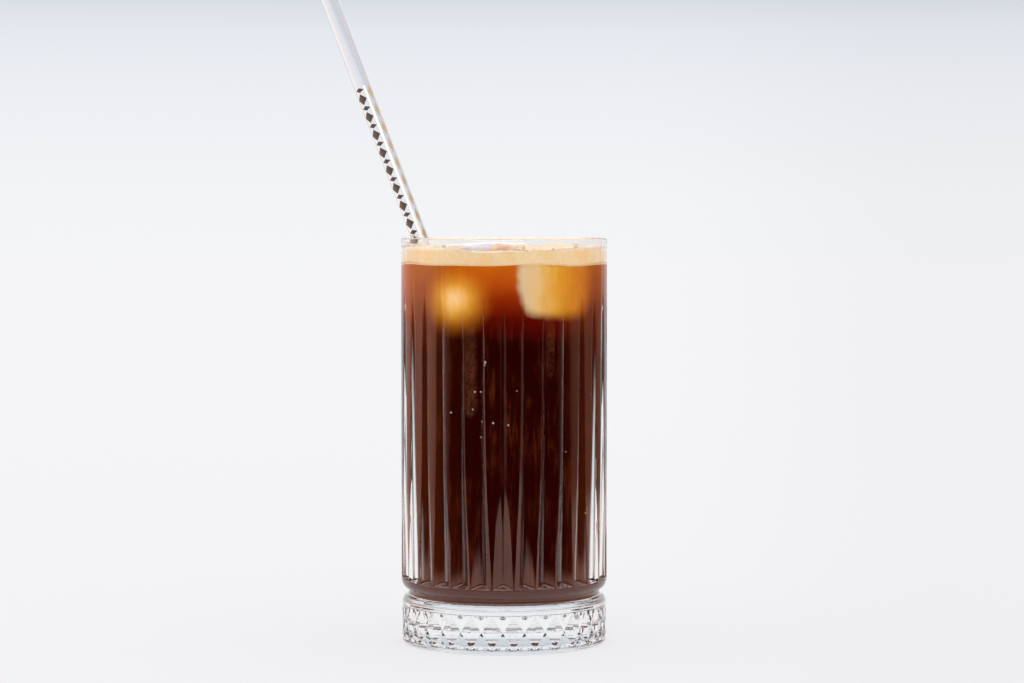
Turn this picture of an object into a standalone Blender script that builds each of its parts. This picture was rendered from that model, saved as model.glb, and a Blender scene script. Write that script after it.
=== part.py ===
"""Glass of iced coffee: a fluted tumbler on a diamond-cut foot, with coffee, crema, ice and a straw.

Angles are counted round the glass from its front, which faces -Y, towards +X.
"""

import math

import bmesh
import bpy
from mathutils import Matrix, Vector

# Tumbler
GLASS_RADIUS = 0.0365
GLASS_HEIGHT = 0.1435
LIP_ROUND = 0.0009
RIM_INNER_RADIUS = 0.0345
LIP_FLARE = 0.0007

# Cavity of the tumbler
FLOOR_HEIGHT = 0.0160
FLOOR_INNER_RADIUS = 0.0330
FLOOR_FILLET = 0.0060
CAVITY_SIDES = 60
FILLET_STEPS = 3

# Flutes of the body, which deepen downwards
FLUTE_COUNT = 30
FRONT_RIDGE = math.radians(5.3)
FLUTE_TOP = 0.1280
FLUTE_DEPTH = 0.00085
COLUMNS_PER_FLUTE = 4
BODY_ROWS = 4

# Ledge under the body, neck and shoulder of the foot
LEDGE_TOP = 0.0227
LEDGE_DROP = 0.0034
NECK_RADIUS = 0.0340
NECK_BOTTOM = 0.0171
ARC_STEPS = 3
FOOT_RADIUS = 0.0363

# Diamond-cut band and the bead that the foot stands on
BAND_TOP = 0.0136
BAND_BOTTOM = 0.0019
SHOULDER_BOTTOM = BAND_TOP + 0.0003
GROOVE_DEPTH = 0.0009
EDGE_CUT = 0.0005
SIDE_GEM_DROP = 0.0013
BEAD_RADIUS = 0.0362
BEAD_SHOULDER = 0.0004
STAND_RADIUS = 0.0345

# Clearance between pieces that touch
GAP = 0.0003

# Drink and crema
LIQUID_LEVEL = 0.1340
LIQUID_WAVE = 0.0004
CREMA_LEVEL = 0.1385
CREMA_RIPPLE = 0.0002
BACK_MOUND = (0.0190, 0.0150, 0.0150, 0.0027)
SIDE_MOUND = (-0.0330, -0.0020, 0.0090, 0.0022)

# Ice that comes out of the crema
ICE_CENTRE = Vector((-0.0085, 0.0095, 0.1340))
ICE_SIZE = Vector((0.0336, 0.0210, 0.0164))
ICE_TURN = math.radians(-4.0)
ICE_TOP_FALL = 0.0014
ICE_TOP_DRAFT = 0.0012
ICE_EDGE = 0.0034

# Straw
STRAW_RADIUS = 0.0030
STRAW_BORE = 0.0022
STRAW_LENGTH = 0.2400
STRAW_LEAN = math.radians(20.75)
STRAW_RIM_X = -0.0300
STRAW_SIDES = 16

FULL_TURN = 2.0 * math.pi
FLUTE_ANGLE = FULL_TURN / FLUTE_COUNT
COLUMNS = FLUTE_COUNT * COLUMNS_PER_FLUTE

# Name: colour, roughness, transmission
FINISHES = {
    "clear_glass": ((0.93, 0.96, 0.95), 0.03, 1.0),
    "coffee": ((0.070, 0.018, 0.008), 0.15, 0.0),
    "crema": ((0.86, 0.62, 0.38), 0.60, 0.0),
    "ice": ((0.86, 0.80, 0.78), 0.15, 0.6),
    "straw_glass": ((0.94, 0.95, 0.96), 0.03, 1.0),
}


def clear_scene():
    """Remove every object of the scene."""
    for item in list(bpy.data.objects):
        bpy.data.objects.remove(item, do_unlink=True)


def make_material(name):
    """Principled material of one finish."""
    colour, roughness, transmission = FINISHES[name]
    material = bpy.data.materials.new(name)
    material.use_nodes = True
    shader = material.node_tree.nodes["Principled BSDF"]
    shader.inputs["Base Color"].default_value = (*colour, 1.0)
    shader.inputs["Roughness"].default_value = roughness
    shader.inputs["Metallic"].default_value = 0.0
    shader.inputs["Transmission Weight"].default_value = transmission
    material.diffuse_color = (*colour, 1.0)
    return material


def add_object(name, bm, finish=None, sharp_angle=math.radians(28.0)):
    """Object from a bmesh, smooth except at its edges; without a finish it is a cutter."""
    bmesh.ops.recalc_face_normals(bm, faces=bm.faces)
    mesh = bpy.data.meshes.new(name)
    bm.to_mesh(mesh)
    bm.free()
    item = bpy.data.objects.new(name, mesh)
    bpy.context.collection.objects.link(item)
    if finish:
        mesh.materials.append(make_material(finish))
        mesh.shade_smooth()
        mesh.set_sharp_from_angle(angle=sharp_angle)
    else:
        item.hide_render = True
        item.display_type = "WIRE"
    return item


def cut(item, cutter):
    """Take a cutter's shape out of an object."""
    modifier = item.modifiers.new("cut_" + cutter.name, "BOOLEAN")
    modifier.operation = "DIFFERENCE"
    modifier.solver = "EXACT"
    modifier.object = cutter


def polar(radius, angle, height):
    """Point at an angle from the front."""
    return Vector((radius * math.sin(angle), -radius * math.cos(angle), height))


def arc(start, end, steps, bulge_first):
    """Quarter of an ellipse between two (radius, height) points, without its first point.

    It leaves upright where bulge_first is true, and level where it is false.
    """
    points = []
    for step in range(1, steps + 1):
        turn = 0.5 * math.pi * step / steps
        slow, fast = 1.0 - math.cos(turn), math.sin(turn)
        across, along = (slow, fast) if bulge_first else (fast, slow)
        points.append((start[0] + (end[0] - start[0]) * across, start[1] + (end[1] - start[1]) * along))
    return points


def flute_place(angle):
    """Place within a flute, 0 on its first ridge and 1 on the next."""
    return ((angle - FRONT_RIDGE) / FLUTE_ANGLE) % 1.0


def body_radius(angle, height, envelope):
    """Radius of the fluted body inside its turned envelope."""
    share = (FLUTE_TOP - height) / (FLUTE_TOP - LEDGE_TOP)
    depth = FLUTE_DEPTH * min(max(share, 0.0), 1.0)
    scoop = 1.0 - (2.0 * flute_place(angle) - 1.0) ** 2
    return min(envelope, GLASS_RADIUS - depth * scoop)


def band_edge_radius(angle):
    """Radius of the cut band's upper and lower edge, deepest where two grooves meet."""
    groove = abs(2.0 * flute_place(angle) - 1.0)
    return FOOT_RADIUS - EDGE_CUT - (GROOVE_DEPTH - EDGE_CUT) * groove


def column_angles():
    """Angles of the tumbler's columns, the first on a ridge."""
    return [FRONT_RIDGE + FULL_TURN * column / COLUMNS for column in range(COLUMNS)]


def add_ring(bm, radius_at, height):
    """Ring of vertices whose radius depends on the angle."""
    return [bm.verts.new(polar(radius_at(angle), angle, height)) for angle in column_angles()]


def bridge_rings(bm, lower, upper):
    """Faces between two rings of the same count."""
    count = len(lower)
    for index in range(count):
        after = (index + 1) % count
        bm.faces.new((lower[index], lower[after], upper[after], upper[index]))


def add_gem(bm, outline, peak):
    """Raised facets from a closed outline to a peak."""
    for index, corner in enumerate(outline):
        bm.faces.new((corner, outline[(index + 1) % len(outline)], peak))


def add_cut_band(bm, lower, upper):
    """Rhombi on the ridges' angles with half rhombi between them along both edges."""
    middle = 0.5 * (BAND_TOP + BAND_BOTTOM)
    half = 0.5 * FLUTE_ANGLE
    ridge_angles = [FRONT_RIDGE + FLUTE_ANGLE * index for index in range(FLUTE_COUNT)]
    crossings = []
    for ridge in ridge_angles:
        crossings.append(bm.verts.new(polar(FOOT_RADIUS - GROOVE_DEPTH, ridge + half, middle)))
    for index, ridge in enumerate(ridge_angles):
        first = index * COLUMNS_PER_FLUTE
        edge = [(first + step) % COLUMNS for step in range(COLUMNS_PER_FLUTE + 1)]
        peak = bm.verts.new(polar(FOOT_RADIUS, ridge, middle))
        add_gem(bm, [upper[first], crossings[index - 1], lower[first], crossings[index]], peak)
        peak = bm.verts.new(polar(FOOT_RADIUS, ridge + half, BAND_TOP - SIDE_GEM_DROP))
        add_gem(bm, [upper[column] for column in edge] + [crossings[index]], peak)
        peak = bm.verts.new(polar(FOOT_RADIUS, ridge + half, BAND_BOTTOM + SIDE_GEM_DROP))
        add_gem(bm, [lower[column] for column in edge] + [crossings[index]], peak)


def foot_rows():
    """Turned rows of the bead, from the stand up to the band."""
    rows = [(STAND_RADIUS, 0.0)]
    rows += arc(rows[0], (BEAD_RADIUS, BAND_BOTTOM - BEAD_SHOULDER), ARC_STEPS, False)
    return rows


def neck_rows():
    """Turned rows of the shoulder, the neck and the ledge, from the band up to the body."""
    shoulder_foot = (FOOT_RADIUS, SHOULDER_BOTTOM)
    neck_foot = (NECK_RADIUS, NECK_BOTTOM)
    neck_top = (NECK_RADIUS, LEDGE_TOP - LEDGE_DROP)
    rows = [shoulder_foot]
    rows += arc(shoulder_foot, neck_foot, ARC_STEPS, True)
    rows.append(neck_top)
    rows += arc(neck_top, (GLASS_RADIUS, LEDGE_TOP), ARC_STEPS, False)
    return rows


def body_rows():
    """Turned rows of the body and of the lip's outer half, above the ledge."""
    rows = []
    for step in range(1, BODY_ROWS + 1):
        rows.append((GLASS_RADIUS, LEDGE_TOP + (FLUTE_TOP - LEDGE_TOP) * step / BODY_ROWS))
    lip_foot = (GLASS_RADIUS, GLASS_HEIGHT - LIP_ROUND)
    rows.append(lip_foot)
    rows += arc(lip_foot, (GLASS_RADIUS - LIP_ROUND, GLASS_HEIGHT), 2, True)
    return rows


def cavity_profile(inset):
    """Half section of the cavity up to the lip, inset from the glass on all sides."""
    floor = FLOOR_HEIGHT + inset
    wall_foot = (FLOOR_INNER_RADIUS - inset, FLOOR_HEIGHT + FLOOR_FILLET)
    profile = [(FLOOR_INNER_RADIUS - FLOOR_FILLET, floor)]
    profile += arc(profile[0], wall_foot, FILLET_STEPS, False)
    profile.append((RIM_INNER_RADIUS - inset, GLASS_HEIGHT - LIP_ROUND))
    return profile


def wall_radius(height, inset):
    """Radius of the cavity's straight wall at a height, inset from the glass."""
    foot = FLOOR_HEIGHT + FLOOR_FILLET
    share = (height - foot) / (GLASS_HEIGHT - LIP_ROUND - foot)
    return FLOOR_INNER_RADIUS + (RIM_INNER_RADIUS - FLOOR_INNER_RADIUS) * share - inset


def add_cavity_cutter():
    """Turned cutter of the cavity, flared at the lip and taller than the glass."""
    mouth = RIM_INNER_RADIUS + LIP_FLARE
    profile = [(0.0, FLOOR_HEIGHT)] + cavity_profile(0.0)
    profile += arc(profile[-1], (mouth, GLASS_HEIGHT), 2, True)
    profile += [(mouth, GLASS_HEIGHT + LIP_ROUND), (0.0, GLASS_HEIGHT + LIP_ROUND)]
    bm = bmesh.new()
    chain = [bm.verts.new(polar(radius, FRONT_RIDGE, height)) for radius, height in profile]
    edges = [bm.edges.new(pair) for pair in zip(chain, chain[1:])]
    bmesh.ops.spin(
        bm,
        geom=chain + edges,
        cent=(0.0, 0.0, 0.0),
        axis=(0.0, 0.0, 1.0),
        angle=FULL_TURN,
        steps=CAVITY_SIDES,
        use_merge=True,
    )
    bmesh.ops.remove_doubles(bm, verts=bm.verts, dist=0.00001)
    return add_object("cavity_cutter", bm)


def add_glass():
    """Tumbler: bead, cut band, neck, fluted body and lip, with its cavity cut out."""
    bm = bmesh.new()
    bead = [add_ring(bm, lambda angle, r=radius: r, height) for radius, height in foot_rows()]
    band_foot = add_ring(bm, band_edge_radius, BAND_BOTTOM)
    band_head = add_ring(bm, band_edge_radius, BAND_TOP)
    upper = []
    for radius, height in neck_rows() + body_rows():
        upper.append(add_ring(bm, lambda angle, z=height, r=radius: body_radius(angle, z, r), height))
    below = bead + [band_foot]
    above = [band_head] + upper
    for rings in (below, above):
        for lower, higher in zip(rings, rings[1:]):
            bridge_rings(bm, lower, higher)
    add_cut_band(bm, band_foot, band_head)
    bm.faces.new(bead[0])
    bm.faces.new(upper[-1])
    glass = add_object("glass", bm, "clear_glass", math.radians(12.0))
    cut(glass, add_cavity_cutter())
    return glass


def liquid_height(x, y):
    """Wavy surface between the coffee and the crema."""
    angle = math.atan2(x, -y)
    reach = min(math.hypot(x, y) / RIM_INNER_RADIUS, 1.0) ** 2
    wave = 0.6 * math.sin(5.0 * angle + 0.4) + 0.4 * math.sin(8.0 * angle - 1.1)
    return LIQUID_LEVEL + LIQUID_WAVE * reach * wave


def mound_height(x, y, mound):
    """Height that a round mound adds at a point."""
    centre_x, centre_y, radius, height = mound
    share = min(math.hypot(x - centre_x, y - centre_y) / radius, 1.0)
    return height * (0.5 + 0.5 * math.cos(math.pi * share))


def crema_height(x, y):
    """Uneven top of the crema, with a mound at the back and one at the side."""
    ripple = CREMA_RIPPLE * math.sin(x / 0.0041 + 0.7) * math.cos(y / 0.0053)
    mounds = mound_height(x, y, BACK_MOUND) + mound_height(x, y, SIDE_MOUND)
    return CREMA_LEVEL + ripple + mounds


def add_surface(bm, rim, height_at, shares):
    """Disc of faces inside a rim ring, at the shares of its radius, up to a middle vertex."""
    ring = rim
    for share in shares:
        inner = []
        for vertex in rim:
            x, y = vertex.co.x * share, vertex.co.y * share
            inner.append(bm.verts.new((x, y, height_at(x, y))))
        bridge_rings(bm, ring, inner)
        ring = inner
    middle = bm.verts.new((0.0, 0.0, height_at(0.0, 0.0)))
    add_gem(bm, ring, middle)


def cavity_ring(bm, radius, height_at):
    """Ring of vertices on the cavity's columns."""
    ring = []
    for column in range(CAVITY_SIDES):
        point = polar(radius, FRONT_RIDGE + FULL_TURN * column / CAVITY_SIDES, 0.0)
        point.z = height_at(point.x, point.y)
        ring.append(bm.verts.new(point))
    return ring


def add_coffee():
    """Coffee from the floor of the glass up to the crema."""
    bm = bmesh.new()
    rings = []
    for radius, height in cavity_profile(GAP)[:-1]:
        rings.append(cavity_ring(bm, radius, lambda x, y, z=height: z))
    rings.append(cavity_ring(bm, wall_radius(LIQUID_LEVEL, GAP), liquid_height))
    for lower, upper in zip(rings, rings[1:]):
        bridge_rings(bm, lower, upper)
    bm.faces.new(rings[0])
    add_surface(bm, rings[-1], liquid_height, (0.6,))
    return add_object("coffee", bm, "coffee")


def add_crema():
    """Crema on the coffee, with its uneven top."""

    def underside(x, y):
        return liquid_height(x, y) + GAP

    bm = bmesh.new()
    low = cavity_ring(bm, wall_radius(LIQUID_LEVEL, GAP), underside)
    high = cavity_ring(bm, wall_radius(CREMA_LEVEL, GAP), crema_height)
    bridge_rings(bm, low, high)
    add_surface(bm, low, underside, (0.6,))
    add_surface(bm, high, crema_height, (0.84, 0.66, 0.46, 0.24))
    return add_object("crema", bm, "crema", math.radians(50.0))


def ice_mesh(swell):
    """Block with rounded edges, drafted sides and a top that falls to the left, swollen all round."""
    bm = bmesh.new()
    size = ICE_SIZE + Vector((swell, swell, swell)) * 2.0
    place = Matrix.Translation(ICE_CENTRE) @ Matrix.Rotation(ICE_TURN, 4, "Z")
    bmesh.ops.create_cube(bm, size=1.0, matrix=Matrix.Diagonal((*size, 1.0)))
    for vertex in bm.verts:
        if vertex.co.z > 0.0:
            vertex.co.y -= math.copysign(ICE_TOP_DRAFT, vertex.co.y)
        if vertex.co.x < 0.0 < vertex.co.z:
            vertex.co.z -= ICE_TOP_FALL
    bmesh.ops.bevel(
        bm,
        geom=list(bm.edges),
        offset=ICE_EDGE + swell,
        offset_type="OFFSET",
        segments=2,
        profile=0.5,
        affect="EDGES",
    )
    bmesh.ops.transform(bm, matrix=place, verts=bm.verts)
    return bm


def straw_matrix():
    """Place of the straw's lower end, leaning to the left against the inside of the rim."""
    reach = RIM_INNER_RADIUS - GAP - STRAW_RADIUS / math.cos(STRAW_LEAN)
    side = -math.sqrt(reach**2 - STRAW_RIM_X**2)
    foot_height = FLOOR_HEIGHT + GAP + STRAW_RADIUS * math.sin(STRAW_LEAN)
    rise = GLASS_HEIGHT - LIP_ROUND - foot_height
    foot = Vector((STRAW_RIM_X + rise * math.tan(STRAW_LEAN), side, foot_height))
    return Matrix.Translation(foot) @ Matrix.Rotation(-STRAW_LEAN, 4, "Y")


def tube_ring(bm, radius, height):
    """Ring of vertices round the straw's own axis."""
    ring = []
    for side in range(STRAW_SIDES):
        angle = FULL_TURN * side / STRAW_SIDES
        ring.append(bm.verts.new((radius * math.cos(angle), radius * math.sin(angle), height)))
    return ring


def add_straw():
    """Open glass tube."""
    bm = bmesh.new()
    rings = [
        tube_ring(bm, STRAW_RADIUS, 0.0),
        tube_ring(bm, STRAW_RADIUS, STRAW_LENGTH),
        tube_ring(bm, STRAW_BORE, STRAW_LENGTH),
        tube_ring(bm, STRAW_BORE, 0.0),
    ]
    for index, ring in enumerate(rings):
        bridge_rings(bm, ring, rings[(index + 1) % len(rings)])
    straw = add_object("straw", bm, "straw_glass", math.radians(50.0))
    straw.matrix_world = straw_matrix()
    return straw


def add_straw_cutter():
    """Rod round the straw, which also runs out below the coffee."""
    run_out = 0.01
    bm = bmesh.new()
    low = tube_ring(bm, STRAW_RADIUS + GAP, -run_out)
    high = tube_ring(bm, STRAW_RADIUS + GAP, STRAW_LENGTH)
    bridge_rings(bm, low, high)
    bm.faces.new(low)
    bm.faces.new(high)
    cutter = add_object("straw_cutter", bm)
    cutter.matrix_world = straw_matrix()
    return cutter


def main():
    """Model the tumbler and everything in it."""
    clear_scene()
    add_glass()
    add_straw()
    add_object("ice_block", ice_mesh(0.0), "ice")
    straw_cutter = add_straw_cutter()
    ice_cutter = add_object("ice_cutter", ice_mesh(GAP))
    for item in (add_coffee(), add_crema()):
        cut(item, straw_cutter)
        cut(item, ice_cutter)


main()
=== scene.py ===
"""Looks of a glass of iced coffee: a fluted tumbler, its drink, ice, crema and a glass straw.

Angles are counted round the glass from its front, which faces -Y, towards +X. Sizes are in metres.
"""

import math
import random

import bmesh
import bpy
import numpy as np
from mathutils import Matrix, Vector, noise


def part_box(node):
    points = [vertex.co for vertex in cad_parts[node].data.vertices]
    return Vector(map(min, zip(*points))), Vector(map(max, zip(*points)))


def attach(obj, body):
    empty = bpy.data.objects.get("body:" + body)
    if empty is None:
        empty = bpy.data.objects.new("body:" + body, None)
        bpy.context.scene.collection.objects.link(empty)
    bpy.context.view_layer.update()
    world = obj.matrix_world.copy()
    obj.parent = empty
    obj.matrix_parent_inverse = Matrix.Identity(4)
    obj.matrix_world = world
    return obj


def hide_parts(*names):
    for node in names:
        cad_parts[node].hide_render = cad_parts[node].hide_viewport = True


bl_info = {
    "name": "Iced Coffee Glass",
    "version": (1, 0, 0),
    "blender": (4, 5, 0),
    "location": "View3D > Sidebar > Iced Coffee",
    "description": "Models a fluted glass of iced coffee piece by piece",
    "category": "Add Mesh",
}

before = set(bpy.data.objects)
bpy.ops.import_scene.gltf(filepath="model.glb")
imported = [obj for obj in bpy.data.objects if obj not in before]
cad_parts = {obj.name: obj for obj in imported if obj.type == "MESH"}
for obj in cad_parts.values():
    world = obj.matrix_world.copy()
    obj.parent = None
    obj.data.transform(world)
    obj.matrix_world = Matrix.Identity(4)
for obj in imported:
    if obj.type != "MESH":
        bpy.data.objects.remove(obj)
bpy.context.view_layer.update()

GLASS_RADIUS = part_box("glass")[1].x
GLASS_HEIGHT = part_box("glass")[1].z
ICE_LOW, ICE_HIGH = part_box("ice_block")
MOUTH_RADIUS = 0.0345

FULL_TURN = 2.0 * math.pi
MM = 0.001
WHITE = (1.0, 1.0, 1.0)

# Picture and camera
PICTURE_WIDTH = 1024
FOCAL_PIXELS = 2717.0
SENSOR_WIDTH = 36.0

# Gain for a colour that shows through the wall of the glass, which takes some of its light
WALL_GAIN = 1.18

# Seed of the ice's wear, because Blender's vector noise otherwise starts from the clock
ICE_SEED = 3


def srgb(red, green, blue):
    """Linear colour of an 8-bit screen colour."""
    channels = []
    for value in (red, green, blue):
        share = value / 255.0
        channels.append(share / 12.92 if share <= 0.04045 else ((share + 0.055) / 1.055) ** 2.4)
    return tuple(channels)


def under_glass(red, green, blue):
    """Colour that a surface in contact with glass needs to look like an 8-bit screen colour through it."""
    return tuple(min(value * WALL_GAIN, 0.98) for value in srgb(red, green, blue))


def smooth_step(low, high, value):
    """Share from 0 at low to 1 at high, level at both ends."""
    share = min(max((value - low) / (high - low), 0.0), 1.0)
    return share * share * (3.0 - 2.0 * share)


# Sizes and colours that a user may change


class TumblerSizes(bpy.types.PropertyGroup):
    """Sizes of the tumbler."""

    flute_count: bpy.props.IntProperty(
        name="Flutes",
        description="Flutes round the body and gems round the foot",
        default=30,
        min=8,
        max=60,
    )
    flute_columns: bpy.props.IntProperty(
        name="Columns per Flute", description="Mesh columns across one flute", default=20, min=8, max=32
    )
    front_ridge: bpy.props.FloatProperty(
        name="Front Ridge",
        description="Angle of the ridge next to the front",
        default=math.radians(5.3),
        unit="ROTATION",
    )
    flute_slope: bpy.props.FloatProperty(
        name="Flute Slope",
        description="Slope of a flute's two flanks",
        default=math.radians(35.0),
        unit="ROTATION",
    )
    flute_share: bpy.props.FloatProperty(
        name="Flute Share",
        description="Share of the surface cut away at the ledge",
        default=0.90,
        min=0.2,
        max=0.96,
    )
    flute_top: bpy.props.FloatProperty(
        name="Flute Top",
        description="Height at which the flutes fade out",
        default=0.1240,
        unit="LENGTH",
    )
    rim_inner: bpy.props.FloatProperty(
        name="Rim Inner Radius",
        description="Radius of the mouth below the lip",
        default=MOUTH_RADIUS,
        unit="LENGTH",
    )
    floor_inner: bpy.props.FloatProperty(
        name="Floor Inner Radius",
        description="Radius of the cavity above its fillet",
        default=0.033,
        unit="LENGTH",
    )
    floor_height: bpy.props.FloatProperty(
        name="Floor Height", description="Height of the cavity's floor", default=0.0150, unit="LENGTH"
    )
    floor_fillet: bpy.props.FloatProperty(
        name="Floor Fillet",
        description="Round between the floor and the wall",
        default=0.0030,
        unit="LENGTH",
    )
    lip_round: bpy.props.FloatProperty(
        name="Lip Round", description="Round of the lip", default=0.0006, unit="LENGTH"
    )
    groove_depth: bpy.props.FloatProperty(
        name="Groove Depth", description="Depth of the foot's grooves", default=0.0005, unit="LENGTH"
    )


class DrinkColours(bpy.types.PropertyGroup):
    """Colours of the drink."""

    amber: bpy.props.FloatVectorProperty(
        name="Amber",
        description="Coffee lit through, under the crema",
        subtype="COLOR",
        default=under_glass(186, 92, 14),
    )
    deep: bpy.props.FloatVectorProperty(
        name="Deep",
        description="Coffee in the depth of the glass",
        subtype="COLOR",
        default=under_glass(34, 2, 1),
    )
    crema: bpy.props.FloatVectorProperty(
        name="Crema",
        description="Foam on the coffee",
        subtype="COLOR",
        default=under_glass(226, 201, 162),
    )


class StrawSizes(bpy.types.PropertyGroup):
    """Sizes of the straw."""

    radius: bpy.props.FloatProperty(name="Radius", description="Outer radius", default=0.003, unit="LENGTH")
    bore: bpy.props.FloatProperty(name="Bore", description="Inner radius", default=0.0022, unit="LENGTH")
    length: bpy.props.FloatProperty(name="Length", description="End to end", default=0.24, unit="LENGTH")
    lean: bpy.props.FloatProperty(
        name="Lean", description="Angle from upright", default=math.radians(20.75), unit="ROTATION"
    )


class StudioSizes(bpy.types.PropertyGroup):
    """Camera and floor."""

    camera_distance: bpy.props.FloatProperty(
        name="Camera Distance", description="From the glass's axis", default=0.964, unit="LENGTH"
    )
    camera_height: bpy.props.FloatProperty(
        name="Camera Height", description="Above the floor", default=0.1454, unit="LENGTH"
    )
    camera_pitch: bpy.props.FloatProperty(
        name="Camera Pitch", description="Downward tilt", default=math.radians(2.30), unit="ROTATION"
    )
    camera_yaw: bpy.props.FloatProperty(
        name="Camera Yaw", description="Turn to the right", default=math.radians(0.166), unit="ROTATION"
    )
    floor_radius: bpy.props.FloatProperty(
        name="Floor Radius", description="Radius of the pale floor", default=12.0, unit="LENGTH"
    )


# Node helpers


def add_node(tree, kind, inputs=None, **settings):
    """Node of a kind, with its settings, and with inputs given as values or sockets."""
    node = tree.nodes.new(kind)
    for key, value in settings.items():
        setattr(node, key, value)
    for key, value in (inputs or {}).items():
        if isinstance(value, bpy.types.NodeSocket):
            tree.links.new(value, node.inputs[key])
        else:
            node.inputs[key].default_value = value
    return node


def maths(tree, operation, first, second=0.0, third=0.0):
    """Result of a Math node."""
    return add_node(tree, "ShaderNodeMath", {0: first, 1: second, 2: third}, operation=operation).outputs[0]


def remap(tree, value, low, high, to_low=0.0, to_high=1.0, curve="SMOOTHSTEP"):
    """Value taken from one range to another."""
    inputs = {"Value": value, "From Min": low, "From Max": high, "To Min": to_low, "To Max": to_high}
    return add_node(tree, "ShaderNodeMapRange", inputs, interpolation_type=curve).outputs["Result"]


def mix(tree, share, first, second, blend="MIX"):
    """Mix of two colours."""
    node = add_node(tree, "ShaderNodeMix", data_type="RGBA", blend_type=blend)
    for key, value in ((0, share), (6, first), (7, second)):
        if isinstance(value, bpy.types.NodeSocket):
            tree.links.new(value, node.inputs[key])
        elif key == 0:
            node.inputs[key].default_value = value
        else:
            node.inputs[key].default_value = (*value, 1.0)
    return node.outputs[2]


def ramp(tree, factor, stops):
    """Colour from stops of (place, colour)."""
    node = add_node(tree, "ShaderNodeValToRGB", {"Fac": factor})
    elements = node.color_ramp.elements
    while len(elements) < len(stops):
        elements.new(0.5)
    for element, (place, colour) in zip(elements, stops):
        element.position = place
        element.color = (*colour, 1.0)
    return node.outputs["Color"]


def noise_texture(tree, vector, scale, detail=2.0, roughness=0.5):
    """Value of a noise."""
    inputs = {"Vector": vector, "Scale": scale, "Detail": detail, "Roughness": roughness}
    return add_node(tree, "ShaderNodeTexNoise", inputs).outputs["Fac"]


def centred_noise(tree, vector, scale, detail=2.0, roughness=0.5):
    """Noise about nought."""
    return maths(tree, "SUBTRACT", noise_texture(tree, vector, scale, detail, roughness), 0.5)


def cell_texture(tree, vector, scale, output):
    """Distance or colour of a pattern of cells."""
    return add_node(tree, "ShaderNodeTexVoronoi", {"Vector": vector, "Scale": scale}).outputs[output]


def sep(tree, vector, axis):
    """One number of a vector."""
    return add_node(tree, "ShaderNodeSeparateXYZ", {0: vector}).outputs[axis]


def object_point(tree, scale=None):
    """Object coordinates, scaled where a scale is given."""
    point = add_node(tree, "ShaderNodeTexCoord").outputs["Object"]
    if scale is None:
        return point
    return add_node(tree, "ShaderNodeMapping", {"Vector": point, "Scale": scale}).outputs["Vector"]


def length_of(tree, vector):
    """Length of a vector."""
    return add_node(tree, "ShaderNodeVectorMath", {0: vector}, operation="LENGTH").outputs["Value"]


def share_of(tree, value, centre, reach):
    """Distance of a value from a centre, as a share of a reach."""
    return maths(tree, "ABSOLUTE", maths(tree, "DIVIDE", maths(tree, "SUBTRACT", value, centre), reach))


def angle_round(tree, x, y):
    """Angle from the front of the glass, towards +X."""
    return maths(tree, "ARCTAN2", x, maths(tree, "MULTIPLY", y, -1.0))


def blend_shaders(tree, share, first, second):
    """Mix of two surfaces or two backgrounds."""
    return add_node(tree, "ShaderNodeMixShader", {0: share, 1: first, 2: second}).outputs[0]


def light_from(tree, kind, colour, strength):
    """Light from a Background or an Emission node."""
    if not isinstance(colour, bpy.types.NodeSocket):
        colour = (*colour, 1.0)
    return add_node(tree, "ShaderNode" + kind, {"Color": colour, "Strength": strength}).outputs[0]


def show(tree, surface):
    """Make a surface the one that a material shows."""
    tree.links.new(surface, tree.nodes["Material Output"].inputs["Surface"])


def new_finish(name, **values):
    """Material whose Principled shader has the given socket values."""
    material = bpy.data.materials.new(name)
    material.use_nodes = True
    tree = material.node_tree
    shader = tree.nodes["Principled BSDF"]
    for key, value in values.items():
        shader.inputs[key.replace("_", " ")].default_value = value
    return material, tree, shader


# Modelling helpers


def deselect():
    """Select nothing."""
    if bpy.context.mode != "OBJECT":
        bpy.ops.object.mode_set(mode="OBJECT")
    bpy.ops.object.select_all(action="DESELECT")


def pick(*pieces):
    """Select pieces, with the first one active."""
    deselect()
    for piece in pieces:
        piece.select_set(True)
    bpy.context.view_layer.objects.active = pieces[0]


def edit_all():
    """Enter edit mode with the whole mesh selected."""
    bpy.ops.object.mode_set(mode="EDIT")
    bpy.ops.mesh.select_all(action="SELECT")


def take_name(piece, name):
    """Name a piece and its mesh."""
    piece.name = name
    piece.data.name = name


def change_mesh(piece, change):
    """Run a change on a piece's mesh outside edit mode."""
    bm = bmesh.new()
    bm.from_mesh(piece.data)
    change(bm)
    bm.to_mesh(piece.data)
    bm.free()


def turn_piece(name, profile, columns, first_angle, close_low=True, close_high=True):
    """Piece round the glass's axis: a circle that is extruded and resized along (radius, height) points."""
    deselect()
    radius, height = profile[0]
    bpy.ops.mesh.primitive_circle_add(vertices=columns, radius=radius, location=(0.0, 0.0, height))
    piece = bpy.context.object
    take_name(piece, name)
    piece.data.transform(Matrix.Translation((0.0, 0.0, height)) @ Matrix.Rotation(first_angle, 4, "Z"))
    piece.location = (0.0, 0.0, 0.0)
    edit_all()
    if close_low:
        bpy.ops.mesh.edge_face_add()
        bpy.ops.mesh.select_all(action="DESELECT")
        select_edges(piece)
    for next_radius, next_height in profile[1:]:
        step = (0.0, 0.0, next_height - height)
        bpy.ops.mesh.extrude_edges_move(TRANSFORM_OT_translate={"value": step})
        share = next_radius / radius
        bpy.ops.transform.resize(value=(share, share, 1.0), center_override=(0.0, 0.0, next_height))
        radius, height = next_radius, next_height
    if close_high:
        bpy.ops.mesh.edge_face_add()
    bpy.ops.object.mode_set(mode="OBJECT")
    return piece


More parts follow.
